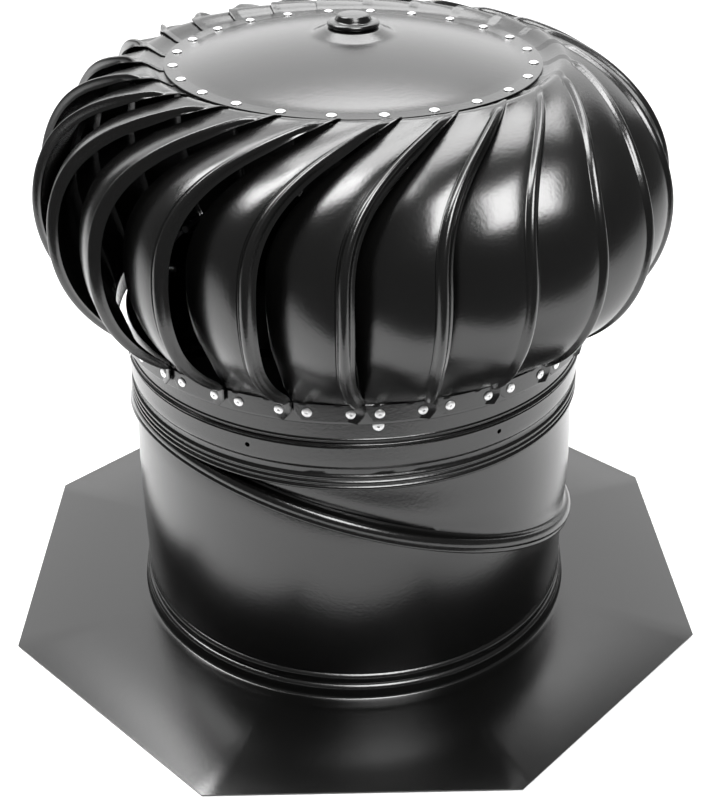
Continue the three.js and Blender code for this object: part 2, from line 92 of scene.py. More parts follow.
# the same pieces' smaller sizes
SHEET = 0.8 * MM
PIPE_R = 152.4 * MM
SEAM_WALL_R = PIPE_R + 3.4 * MM
COLLAR_R = COLLAR_RIDGE_R - 1.4 * MM
DISC_FLANGE_TOP = BOSS_TOP - 19 * MM
DISC_FOOT_R = DISC_R - 10 * MM
BOSS_R = 24.8 * MM
BOSS_TOP_R = 17 * MM
HOUSING_R = 13.7 * MM
TAB_R = RING_R + 0.8 * MM
TOP_TAB_Z = DISC_FLANGE_TOP - 1.6 * MM
BULGE_R = TAB_R + 39.9 * MM
BULGE_CENTRE_Z = RING_TOP + 72 * MM
BULGE_UP = DISC_FLANGE_TOP + 6.2 * MM - BULGE_CENTRE_Z
VANE_AZIMUTH = math.radians(12.3)
LEG_AZIMUTH = math.radians(-85.9)
LEGS = 3
SCREW_Z = COLLAR_TOP - 15 * MM
HOLES = 6
HOLE_R = 1.6 * MM
HOLE_Z = COLLAR_BOTTOM + 24.6 * MM


# ---------------------------------------------------------------- settings

class DuctSettings(PropertyGroup):
    """Sizes of the flashing, the pipes and the collar"""
    segments: IntProperty(
        name="Segments", description="Facets round the duct", default=160, min=24)
    wall: FloatProperty(
        name="Wall", description="Thickness of the duct's sheet", default=SHEET, unit="LENGTH")
    bead_height: FloatProperty(
        name="Bead height", description="How far the slanted seam's bead stands out",
        default=7.2 * MM, unit="LENGTH")


class RotorSettings(PropertyGroup):
    """Sizes of the rotor's vanes and rivets"""
    sheet: FloatProperty(
        name="Sheet", description="Thickness of the vanes' sheet", default=0.6 * MM, unit="LENGTH")
    louvre_depth: FloatProperty(
        name="Louvre depth", description="How far a vane's inner edge lies inside its outer edge",
        default=16 * MM, unit="LENGTH")
    ridge_half: FloatProperty(
        name="Ridge half width", description="Half the width of the rolled ridge on a vane's edge",
        default=3.1 * MM, unit="LENGTH")
    ridge_height: FloatProperty(
        name="Ridge height", description="How far the rolled ridge stands out",
        default=2.7 * MM, unit="LENGTH")
    flange: FloatProperty(
        name="Flange", description="Width of the flange folded in beyond the ridge",
        default=2.0 * MM, unit="LENGTH")
    lip: FloatProperty(
        name="Lip", description="Width of the lip folded in along the inner edge",
        default=5 * MM, unit="LENGTH")
    rivet_r: FloatProperty(
        name="Rivet radius", description="Radius of a rivet's head", default=3.05 * MM, unit="LENGTH")


class FinishSettings(PropertyGroup):
    """Colours and finishes"""
    paint: FloatVectorProperty(
        name="Paint", description="Colour of the baked black paint", subtype="COLOR",
        size=3, default=(0.0018, 0.0018, 0.0017), min=0, max=1)
    gloss: FloatProperty(
        name="Gloss roughness", description="Roughness of the glossy paint", default=0.22, min=0, max=1)
    satin: FloatProperty(
        name="Satin roughness", description="Roughness of the flashing's paint", default=0.22, min=0, max=1)
    aluminium: FloatVectorProperty(
        name="Aluminium", description="Colour of the rivets", subtype="COLOR",
        size=3, default=(0.9, 0.9, 0.9), min=0, max=1)
    zinc: FloatVectorProperty(
        name="Zinc", description="Colour of the zinc plating", subtype="COLOR",
        size=3, default=(0.62, 0.63, 0.64), min=0, max=1)
    steel: FloatVectorProperty(
        name="Steel", description="Colour of the shaft and the bearing", subtype="COLOR",
        size=3, default=(0.5, 0.5, 0.51), min=0, max=1)
    bronze: FloatVectorProperty(
        name="Bronze", description="Colour of the lower bush", subtype="COLOR",
        size=3, default=(0.48, 0.29, 0.12), min=0, max=1)


class StudioSettings(PropertyGroup):
    """Floor, light and camera"""
    floor: FloatVectorProperty(
        name="Floor", description="Colour of the floor", subtype="COLOR",
        size=3, default=(0.93, 0.93, 0.93), min=0, max=1)
    front: FloatProperty(
        name="Floor's front", description="How far in front of the object the floor ends", default=0.5,
        unit="LENGTH")
    ambient: FloatProperty(
        name="Ambient", description="Strength of the light from all round", default=0.17, min=0)
    softbox: FloatProperty(
        name="Softbox", description="Power of the right soft box, in watts, which the others take shares of",
        default=36, min=0)
    lens: FloatProperty(
        name="Lens", description="Focal length of the camera", default=58.8, unit="CAMERA")


# ---------------------------------------------------------------- modelling by hand, in steps

def deselect():
    bpy.ops.object.select_all(action="DESELECT")


def named(name):
    """Names the object that was just added and puts its place into its mesh."""
    piece = bpy.context.active_object
    piece.name = piece.data.name = name
    bpy.ops.object.transform_apply(location=True, rotation=True, scale=True)
    return piece


def edit(piece):
    deselect()
    piece.select_set(True)
    bpy.context.view_layer.objects.active = piece
    bpy.ops.object.mode_set(mode="EDIT")
    bpy.ops.mesh.select_mode(type="VERT")


def leave_edit():
    bpy.ops.object.mode_set(mode="OBJECT")


def close_up(piece):
    """Merges what meets and turns every face outwards."""
    edit(piece)
    bpy.ops.mesh.select_all(action="SELECT")
    bpy.ops.mesh.remove_doubles(threshold=1e-6)
    bpy.ops.mesh.dissolve_degenerate(threshold=1e-7)
    bpy.ops.mesh.normals_make_consistent(inside=False)
    leave_edit()


def smooth(piece, angle=32):
    deselect()
    piece.select_set(True)
    bpy.context.view_layer.objects.active = piece
    bpy.ops.object.shade_smooth_by_angle(angle=math.radians(angle), keep_sharp_edges=False)


def apply_modifier(piece, kind, **values):
    """Adds a modifier to the piece, sets it and applies it."""
    deselect()
    piece.select_set(True)
    bpy.context.view_layer.objects.active = piece
    modifier = piece.modifiers.new(kind.title(), kind)
    for key, value in values.items():
        setattr(modifier, key, value)
    bpy.ops.object.modifier_apply(modifier=modifier.name)


def ease(low, high, value):
    """0 below low, 1 above high, and smooth between."""
    share = min(max((value - low) / (high - low), 0), 1)
    return share * share * (3 - 2 * share)


def spread(first, last, count):
    """Evenly spread values, with both ends."""
    return [first + (last - first) * i / (count - 1) for i in range(count)]


def arc(centre, radius, start, end, steps):
    """Points of an arc in a profile, from one angle to another in degrees, with both ends."""
    angles = (math.radians(start + (end - start) * i / steps) for i in range(steps + 1))
    return [(centre[0] + radius * math.cos(a), centre[1] + radius * math.sin(a)) for a in angles]


def thickened(path, wall):
    """A closed profile: the path, and back along it one wall's thickness to its left."""
    back = []
    for i, (r, z) in enumerate(path):
        (r0, z0), (r1, z1) = path[max(i - 1, 0)], path[min(i + 1, len(path) - 1)]
        length = math.hypot(r1 - r0, z1 - z0)
        back.append((r - wall * (z1 - z0) / length, z + wall * (r1 - r0) / length))
    return path + back[::-1]


def spun(name, profile, steps):
    """A closed chain of edges laid along the profile, spun round Z."""
    deselect()
    bpy.ops.mesh.primitive_circle_add(vertices=len(profile), radius=1)
    piece = named(name)
    for vertex, (r, z) in zip(piece.data.vertices, profile):
        vertex.co = (r, 0, z)
    edit(piece)
    bpy.ops.mesh.select_all(action="SELECT")
    bpy.ops.mesh.spin(steps=steps, angle=TURN, center=(0, 0, 0), axis=(0, 0, 1))
    leave_edit()
    close_up(piece)
    return piece


def ring_chain(name, rings, segments):
    """A ring extruded from place to place. Each ring is its radius, its centre and its tilt about Y."""
    radius, centre, tilt = rings[0]
    deselect()
    bpy.ops.mesh.primitive_circle_add(
        vertices=segments, radius=radius, location=centre, rotation=(0, tilt, 0))
    piece = named(name)
    edit(piece)
    bpy.ops.mesh.select_all(action="SELECT")
    for new_radius, new_centre, new_tilt in rings[1:]:
        bpy.ops.mesh.extrude_region_move(TRANSFORM_OT_translate={"value": new_centre - centre})
        bpy.ops.transform.resize(value=[new_radius / radius] * 3, center_override=new_centre)
        if new_tilt != tilt:
            # with no window, this turns the other way
            bpy.ops.transform.rotate(value=tilt - new_tilt, orient_axis="Y", center_override=new_centre)
        radius, centre, tilt = new_radius, new_centre, new_tilt
    leave_edit()
    return piece


def turned_about_z(piece, angle):
    """Turns the piece's mesh about Z."""
    piece.data.transform(Matrix.Rotation(angle, 4, "Z"))
    piece.data.update()


def copies_round(piece, names, pitch):
    """The piece and its copies, each with its own mesh, turned about Z by one more pitch each."""
    made = [piece]
    for i, name in enumerate(names[1:], start=1):
        deselect()
        piece.select_set(True)
        bpy.context.view_layer.objects.active = piece
        bpy.ops.object.duplicate(linked=False)
        copy = bpy.context.active_object
        copy.name = copy.data.name = name
        turned_about_z(copy, i * pitch)
        made.append(copy)
    return made


def fit_out(piece, body, slot, material, *nodes):
    """Gives the piece its body and its finish, and hides the CAD nodes that it stands for. The slot argument
    is not used.
    """
    piece.data.materials.clear()
    piece.data.materials.append(material)
    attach(piece, body)
    if nodes:
        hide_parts(*nodes)


# ---------------------------------------------------------------- finishes

def group(name, inputs, outputs):
    """A new shader node group with its sockets, and its input and output nodes."""
    tree = bpy.data.node_groups.new(name, "ShaderNodeTree")
    for socket, default in inputs.items():
        made = tree.interface.new_socket(socket, in_out="INPUT", socket_type="NodeSocketFloat")
        made.default_value = default
    for socket in outputs:
        tree.interface.new_socket(socket, in_out="OUTPUT", socket_type="NodeSocketFloat")
    return tree, tree.nodes.new("NodeGroupInput"), tree.nodes.new("NodeGroupOutput")


def math_node(tree, operation, first, second):
    """A math node whose two values are sockets or numbers. Gives its result."""
    node = tree.nodes.new("ShaderNodeMath")
    node.operation = operation
    for socket, value in zip(node.inputs, (first, second)):
        if isinstance(value, (int, float)):
            socket.default_value = value
        else:
            tree.links.new(value, socket)
    return node.outputs[0]


def noise(tree, scale, detail, roughness=0.5):
    """Noise on the object's own coordinates, centred on zero."""
    coordinates = tree.nodes.new("ShaderNodeTexCoord")
    node = tree.nodes.new("ShaderNodeTexNoise")
    tree.links.new(coordinates.outputs["Object"], node.inputs["Vector"])
    if isinstance(scale, (int, float)):
        node.inputs["Scale"].default_value = scale
    else:
        tree.links.new(scale, node.inputs["Scale"])
    node.inputs["Detail"].default_value = detail
    node.inputs["Roughness"].default_value = roughness
    return math_node(tree, "SUBTRACT", node.outputs[0], 0.5)


def orange_peel():
    """The small waves and specks of sprayed and baked paint."""
    tree, given, result = group("Orange Peel", {"Scale": 500, "Depth": 1}, ["Height"])
    peel = noise(tree, given.outputs["Scale"], 2)
    specks = noise(tree, math_node(tree, "MULTIPLY", given.outputs["Scale"], 3.7), 3, 0.7)
    both = math_node(tree, "ADD", peel, math_node(tree, "MULTIPLY", specks, 0.45))
    tree.links.new(math_node(tree, "MULTIPLY", both, given.outputs["Depth"]), result.inputs["Height"])
    return tree


def handling():
    """Broad clouds of slightly duller and slightly paler surface, as on anything that was handled."""
    tree, given, result = group(
        "Handling", {"Roughness": 0.2, "Spread": 0.05, "Scale": 9}, ["Roughness", "Pale"])
    clouds = noise(tree, given.outputs["Scale"], 4, 0.6)
    grain = noise(tree, math_node(tree, "MULTIPLY", given.outputs["Scale"], 120), 2)
    mixed = math_node(tree, "ADD", clouds, math_node(tree, "MULTIPLY", grain, 0.4))
    spread = math_node(tree, "MULTIPLY", mixed, given.outputs["Spread"])
    tree.links.new(math_node(tree, "ADD", spread, given.outputs["Roughness"]), result.inputs["Roughness"])
    pale = tree.nodes.new("ShaderNodeMapRange")
    tree.links.new(mixed, pale.inputs["Value"])
    pale.inputs["From Min"].default_value = -0.05
    pale.inputs["From Max"].default_value = 0.35
    tree.links.new(pale.outputs["Result"], result.inputs["Pale"])
    return tree


def drawn_marks():
    """Fine scratches round the axis, as a lathe or a drawing die leaves."""
    tree, given, result = group("Drawn Marks", {"Scale": 700, "Depth": 1}, ["Height", "Mask"])
    coordinates = tree.nodes.new("ShaderNodeTexCoord")
    stretch = tree.nodes.new("ShaderNodeMapping")
    stretch.inputs["Scale"].default_value = (0.06, 0.06, 1)
    tree.links.new(coordinates.outputs["Object"], stretch.inputs["Vector"])
    lines = tree.nodes.new("ShaderNodeTexNoise")
    lines.inputs["Detail"].default_value = 3
    tree.links.new(stretch.outputs["Vector"], lines.inputs["Vector"])
    tree.links.new(given.outputs["Scale"], lines.inputs["Scale"])
    centred = math_node(tree, "SUBTRACT", lines.outputs[0], 0.5)
    tree.links.new(math_node(tree, "MULTIPLY", centred, given.outputs["Depth"]), result.inputs["Height"])
    tree.links.new(math_node(tree, "ADD", centred, 0.5), result.inputs["Mask"])
    return tree


def new_material(name):
    """A material with its node tree and its Principled shader."""
    material = bpy.data.materials.new(name)
    material.use_nodes = True
    return material, material.node_tree, material.node_tree.nodes["Principled BSDF"]


def placed(tree, node_group, **values):
    """A node group placed in a material with its own values."""
    node = tree.nodes.new("ShaderNodeGroup")
    node.node_tree = node_group
    for key, value in values.items():
        node.inputs[key].default_value = value
    return node


def bumped(tree, shader, height, strength, distance):
    bump = tree.nodes.new("ShaderNodeBump")
    bump.inputs["Strength"].default_value = strength
    bump.inputs["Distance"].default_value = distance
    tree.links.new(height, bump.inputs["Height"])
    tree.links.new(bump.outputs["Normal"], shader.inputs["Normal"])


def two_tone(tree, shader, mask, base, other):
    """Base Color between two colours, by a mask."""
    mix = tree.nodes.new("ShaderNodeMix")
    mix.data_type = "RGBA"
    mix.inputs[6].default_value = (*base, 1)
    mix.inputs[7].default_value = (*other, 1)
    tree.links.new(mask, mix.inputs["Factor"])
    tree.links.new(mix.outputs[2], shader.inputs["Base Color"])


def painted(name, colour, roughness, peel_depth, peel_scale, sheen):
    """Baked black paint: waves and specks, with a clear gloss over it."""
    material, tree, shader = new_material(name)
    marks = placed(tree, bpy.data.node_groups["Handling"], Roughness=roughness, Spread=0.06, Scale=7)
    peel = placed(tree, bpy.data.node_groups["Orange Peel"], Scale=peel_scale, Depth=peel_depth)
    two_tone(tree, shader, marks.outputs["Pale"], colour, [channel * 1.7 for channel in colour])
    tree.links.new(marks.outputs["Roughness"], shader.inputs["Roughness"])
    bumped(tree, shader, peel.outputs["Height"], 0.25, 0.25 * MM)
    shader.inputs["IOR"].default_value = 1.56
    shader.inputs["Specular IOR Level"].default_value = sheen
    return material


def bare_metal(name, colour, roughness, marks_scale, depth):
    """Bare or plated metal with drawn marks."""
    material, tree, shader = new_material(name)
    lines = placed(tree, bpy.data.node_groups["Drawn Marks"], Scale=marks_scale, Depth=depth)
    clouds = placed(tree, bpy.data.node_groups["Handling"], Roughness=roughness, Spread=0.2, Scale=60)
    two_tone(tree, shader, lines.outputs["Mask"], [channel * 0.82 for channel in colour], colour)
    tree.links.new(clouds.outputs["Roughness"], shader.inputs["Roughness"])
    bumped(tree, shader, lines.outputs["Height"], 0.3, 0.05 * MM)
    shader.inputs["Metallic"].default_value = 1
    return material


class VENTILATOR_OT_finishes(Operator):
    """Make the paints and metals"""
    bl_idname = "ventilator.finishes"
    bl_label = "Finishes"

    def execute(self, context):
        look = context.scene.ventilator_finish
        for build in (orange_peel, handling, drawn_marks):
            build()
        painted("sheet_gloss_paint", look.paint, look.gloss, 1.0, 520, 0.6)
        painted("sheet_satin_paint", look.paint, look.satin, 0.8, 640, 0.62)
        painted("brace_paint", look.paint, look.satin + 0.06, 1.2, 400, 0.5)
        bare_metal("satin_aluminium", look.aluminium, 0.45, 900, 0.6)
        bare_metal("bright_zinc", look.zinc, 0.3, 600, 1.0)
        bare_metal("ground_steel", look.steel, 0.2, 1200, 0.8)
        bare_metal("oiled_bronze", look.bronze, 0.34, 900, 1.0)
        return {"FINISHED"}


def finish(name):
    return bpy.data.materials[name]


# ---------------------------------------------------------------- flashing and duct

class VENTILATOR_OT_flashing(Operator):
    """Model the octagonal flashing with its rolled curb"""
    bl_idname = "ventilator.flashing"
    bl_label = "Flashing"

    def execute(self, context):
        duct = context.scene.ventilator_duct
        sheet_top = 1.0 * MM
        curb_r = PIPE_R + 4.1 * MM
        cuts = duct.segments // 8 - 1
        deselect()
        bpy.ops.mesh.primitive_circle_add(
            vertices=8, radius=FLASHING_HALF / math.cos(math.pi / 8), location=(0, 0, sheet_top),
            rotation=(0, 0, math.pi / 8))
        piece = named("roof_flashing")
        edit(piece)
        bpy.ops.mesh.select_all(action="SELECT")
        bpy.ops.mesh.subdivide(number_cuts=cuts)
        # the sheet runs in to a ring at the curb's foot, then up round the curb and over its lip
        bpy.ops.mesh.primitive_circle_add(
            vertices=8 * (cuts + 1), radius=curb_r + 4 * MM, location=(0, 0, sheet_top))
        bpy.ops.mesh.select_all(action="SELECT")
        bpy.ops.mesh.bridge_edge_loops()
        bpy.ops.mesh.select_all(action="DESELECT")
        leave_edit()
        inner = curb_r + 5 * MM
        for vertex in piece.data.vertices:
            vertex.select = math.hypot(vertex.co.x, vertex.co.y) < inner
        edit(piece)
        radius, height = curb_r + 4 * MM, sheet_top
        foot = arc((curb_r + 2 * MM, sheet_top + 2 * MM), 2 * MM, 270, 180, 4)
        roll_r = 3.4 * MM
        roll = arc((curb_r - roll_r, CURB_TOP - roll_r), roll_r, 0, 100, 7)
        for new_radius, new_height in foot + roll:
            bpy.ops.mesh.extrude_region_move(TRANSFORM_OT_translate={"value": (0, 0, new_height - height)})
            factor = new_radius / radius
            bpy.ops.transform.resize(value=(factor, factor, 1), center_override=(0, 0, 0))
            radius, height = new_radius, new_height
        leave_edit()
        close_up(piece)
        apply_modifier(piece, "SOLIDIFY", thickness=0.9 * MM, offset=-1)
        apply_modifier(piece, "BEVEL", width=0.22 * MM, segments=2, limit_method="ANGLE",
                       angle_limit=math.radians(60))
        smooth(piece)
        fit_out(piece, "flashing", "satin_black_paint", finish("sheet_satin_paint"), "flashing")
        return {"FINISHED"}


def level_ring(radius, height):
    return radius, Vector((0, 0, height)), 0.0


def seam_ring(radius, above):
    """A ring parallel to the slanted seam, whose low side is at +X, at a distance above its plane."""
    normal = Vector((math.sin(SEAM_TILT), 0, math.cos(SEAM_TILT)))
    return radius, Vector((0, 0, SEAM_HEIGHT)) + normal * above, SEAM_TILT


def between(first, last, count):
    """Rings that lead evenly from one ring to another, without both ends."""
    rings = []
    for share in spread(0, 1, count + 2)[1:-1]:
        eased = ease(0, 1, share)
        rings.append((first[0] + (last[0] - first[0]) * eased, first[1].lerp(last[1], share),
                      first[2] + (last[2] - first[2]) * share))
    return rings


def finish_pipe(piece, duct):
    """Gives a drawn pipe its wall, its shading and its turn towards the seam's low side."""
    close_up(piece)
    apply_modifier(piece, "SOLIDIFY", thickness=duct.wall * 0.75, offset=-1)
    turned_about_z(piece, SEAM_AZIMUTH)
    smooth(piece)


class VENTILATOR_OT_lower_pipe(Operator):
    """Model the lower pipe, up to its slanted flange"""
    bl_idname = "ventilator.lower_pipe"
    bl_label = "Lower pipe"

    def execute(self, context):
        duct = context.scene.ventilator_duct
        ridge_z, ridge_half, ridge_height = 17.2 * MM, 1.7 * MM, 1.7 * MM
        ridge = [
            level_ring(PIPE_R + ridge_height * math.cos(math.pi / 2 * share), ridge_z + ridge_half * share)
            for share in (-1, -0.7, -0.35, 0, 0.35, 0.7, 1)
        ]
        foot = [(PIPE_R, 2.2), (PIPE_R + 1.6 * MM, 2.6), (PIPE_R + 2.2 * MM, 4), (PIPE_R + 2.2 * MM, 8),
                (PIPE_R + 1.4 * MM, 9.4), (PIPE_R + 0.2 * MM, 9.9), (PIPE_R, 10.6), (PIPE_R, 13)]
        rings = [level_ring(r, z * MM) for r, z in foot] + ridge + [level_ring(PIPE_R, ridge_z + 4 * MM)]
        below_seam = seam_ring(SEAM_WALL_R, -6 * MM)
        rings += [*between(rings[-1], below_seam, 8), below_seam, seam_ring(SEAM_WALL_R, -1.6 * MM)]
        rings += [seam_ring(SEAM_WALL_R + 0.6 * MM, -1 * MM), seam_ring(SEAM_WALL_R + 4.4 * MM, -0.8 * MM)]
        piece = ring_chain("lower_duct_pipe", rings, duct.segments)
        finish_pipe(piece, duct)
        fit_out(piece, "lower_duct", "black_paint", finish("sheet_gloss_paint"), "lower_pipe")
        return {"FINISHED"}


class VENTILATOR_OT_upper_pipe(Operator):
    """Model the upper pipe, with the bead that swivels on the lower one"""
    bl_idname = "ventilator.upper_pipe"
    bl_label = "Upper pipe"

    def execute(self, context):
        duct = context.scene.ventilator_duct
        crest = SEAM_WALL_R + duct.bead_height
        # from under the bead, over a small roll, a crease and the main roll, to the wall above
        small = arc((crest - 1.9 * MM, -3.0 * MM), 1.7 * MM, 250, 380, 7)
        main_roll = arc((crest - 4 * MM, 0.9 * MM), 4 * MM, -34, 92, 12)
        bead = [(SEAM_WALL_R + 3.2 * MM, -4.1 * MM)] + small + main_roll
        bead += [(SEAM_WALL_R + 1.6 * MM, 5.2 * MM), (SEAM_WALL_R + 0.5 * MM, 5.9 * MM)]
        bead += [(SEAM_WALL_R, 7 * MM)]
        upper_r = PIPE_R - 1.4 * MM
        rings = [seam_ring(r, above) for r, above in bead]
        in_collar = level_ring(upper_r, COLLAR_BOTTOM + 5 * MM)
        rings += [*between(rings[-1], in_collar, 8), in_collar, level_ring(upper_r, COLLAR_BOTTOM + 32 * MM)]
        piece = ring_chain("upper_duct_pipe", rings, duct.segments)
        finish_pipe(piece, duct)
        fit_out(piece, "upper_duct", "black_paint", finish("sheet_gloss_paint"), "upper_pipe")
        return {"FINISHED"}


def rib(bottom, top, rise, base=COLLAR_R, steps=6):
    """A rounded rib round the collar, between two heights, in millimetres above its lower edge."""
    points = []
    for i in range(steps + 1):
        share = i / steps
        points.append((base + rise * MM * math.sin(math.pi * share) ** 0.7,
                       COLLAR_BOTTOM + (bottom + (top - bottom) * share) * MM))
    return points


def drill(piece, places, radius):
    """Cuts round holes through the wall, each at an azimuth and a height."""
    deselect()
    for azimuth, height in places:
        bpy.ops.mesh.primitive_cylinder_add(
            vertices=24, radius=radius, depth=20 * MM,
            location=(COLLAR_R * math.cos(azimuth), COLLAR_R * math.sin(azimuth), height),
            rotation=(0, math.pi / 2, azimuth))
        cutter = bpy.context.active_object
        apply_modifier(piece, "BOOLEAN", operation="DIFFERENCE", object=cutter, solver="EXACT")
        bpy.data.objects.remove(cutter)


class VENTILATOR_OT_collar(Operator):
    """Model the throat collar with its ribs and holes"""
    bl_idname = "ventilator.collar"
    bl_label = "Throat collar"

    def execute(self, context):
        duct = context.scene.ventilator_duct
        band = COLLAR_R + 0.7 * MM
        path = rib(0, 3.4, 1.4) + rib(3.8, 7.0, 1.2) + rib(7.6, 10.8, 1.0)
        # a groove, a soft step out to the band, and the band itself, at heights above the lower edge
        groove = COLLAR_R - 0.5 * MM
        step = [(groove, 11.6), (groove, 14.6), (COLLAR_R - 0.2 * MM, 15.4), (COLLAR_R + 0.2 * MM, 16.2),
                (band - 0.15 * MM, 17.2), (band, 18.2)]
        band_top = [(band, 29), (band, 30), (band - 0.4 * MM, 30.5)]
        path += [(r, COLLAR_BOTTOM + height * MM) for r, height in step]
        path += [(band, HOLE_Z - 3 * MM), (band, HOLE_Z + 3 * MM)]
        path += [(r, COLLAR_BOTTOM + height * MM) for r, height in band_top]
        path += rib(31, 34, 1.6) + rib(34.5, 37, 0.8) + [(COLLAR_R, COLLAR_BOTTOM + 38 * MM)]
        path += [(COLLAR_R, SCREW_Z - 4 * MM), (COLLAR_R, SCREW_Z + 4 * MM), (COLLAR_R, COLLAR_TOP)]
        piece = spun("throat_collar_shell", thickened(path, duct.wall * 0.8), duct.segments)
        holes = [(LEG_AZIMUTH + TURN * (i + 0.5) / HOLES, HOLE_Z) for i in range(HOLES)]
        drill(piece, holes, HOLE_R)
        drill(piece, [(LEG_AZIMUTH + TURN * i / LEGS, SCREW_Z) for i in range(LEGS)], 2.4 * MM)
        smooth(piece)
        fit_out(piece, "upper_duct", "black_paint", finish("sheet_gloss_paint"), "throat_collar")
        return {"FINISHED"}


# ---------------------------------------------------------------- rotor

class VENTILATOR_OT_rotor_ring(Operator):
    """Model the rotor's bottom ring with its rolled edge"""
    bl_idname = "ventilator.rotor_ring"
    bl_label = "Bottom ring"

    def execute(self, context):
        duct = context.scene.ventilator_duct
        roll = arc((RING_R - 0.7 * MM, RING_BOTTOM + 0.7 * MM), 0.7 * MM, 180, 360, 6)
        inside = RING_R - SHEET
        profile = roll + [(RING_R, RING_TOP), (inside, RING_TOP), (inside, RING_BOTTOM + 2 * MM)]
        piece = spun("rotor_bottom_ring", profile, duct.segments)
        smooth(piece)
        fit_out(piece, "rotor", "black_paint", finish("sheet_gloss_paint"), "rotor_ring")
        return {"FINISHED"}


FOOT_ANGLE = -54.7  # where the vanes' swelling leaves the lower tab, in degrees below the widest level
CREST_ANGLE = 76.0  # where it turns down to the upper tab


def swelling(t):
    """Radius and height of the vanes' outline at an angle above the widest level."""
    angle = math.radians(t)
    return (DISC_FOOT_R + (BULGE_R - DISC_FOOT_R) * math.cos(angle),
            BULGE_CENTRE_Z + BULGE_UP * math.sin(angle))


def vane_levels():
    """The levels up a vane: radius, height and its angle on the swelling, from tab to tab."""
    tab_bottom = RING_BOTTOM + 2.6 * MM
    crease_z = RING_TOP - 0.4 * MM
    levels = []
    for share in (0, 0.08, 0.16, 0.25, 0.36, 0.5, 0.64, 0.78, 0.9, 1):
        levels.append((TAB_R, tab_bottom + share * (crease_z - tab_bottom), FOOT_ANGLE - 8 * (1.5 - share)))
    # the crease pressed in along the ring's top edge
    levels.append((TAB_R - 0.7 * MM, crease_z + 0.7 * MM, FOOT_ANGLE - 3))
    levels.append((TAB_R - 0.1 * MM, crease_z + 1.5 * MM, FOOT_ANGLE - 2))
    for t in spread(FOOT_ANGLE + 1.2, 64, 46) + spread(65, CREST_ANGLE, 12):
        levels.append((*swelling(t), t))
    # a small hollow curve down to the flat tab under the disc
    r0, z0, last = levels[-1]
    for share in spread(0.12, 1, 7):
        r = r0 + (DISC_FOOT_R - r0) * share
        levels.append((r, z0 + (TOP_TAB_Z - z0) * ease(0, 0.5, share), last + 14 * share))
    return levels


def vane_sweep(t):
    """How far a vane's ridge has swept round from its azimuth at the widest level."""
    up = max(0, (t - 10) / 62)
    down = max(0, (-25 - t) / 31)
    return math.radians(min(22 * up ** 2.5, 26.6) + 2.3 * min(down, 1.0) ** 1.5)


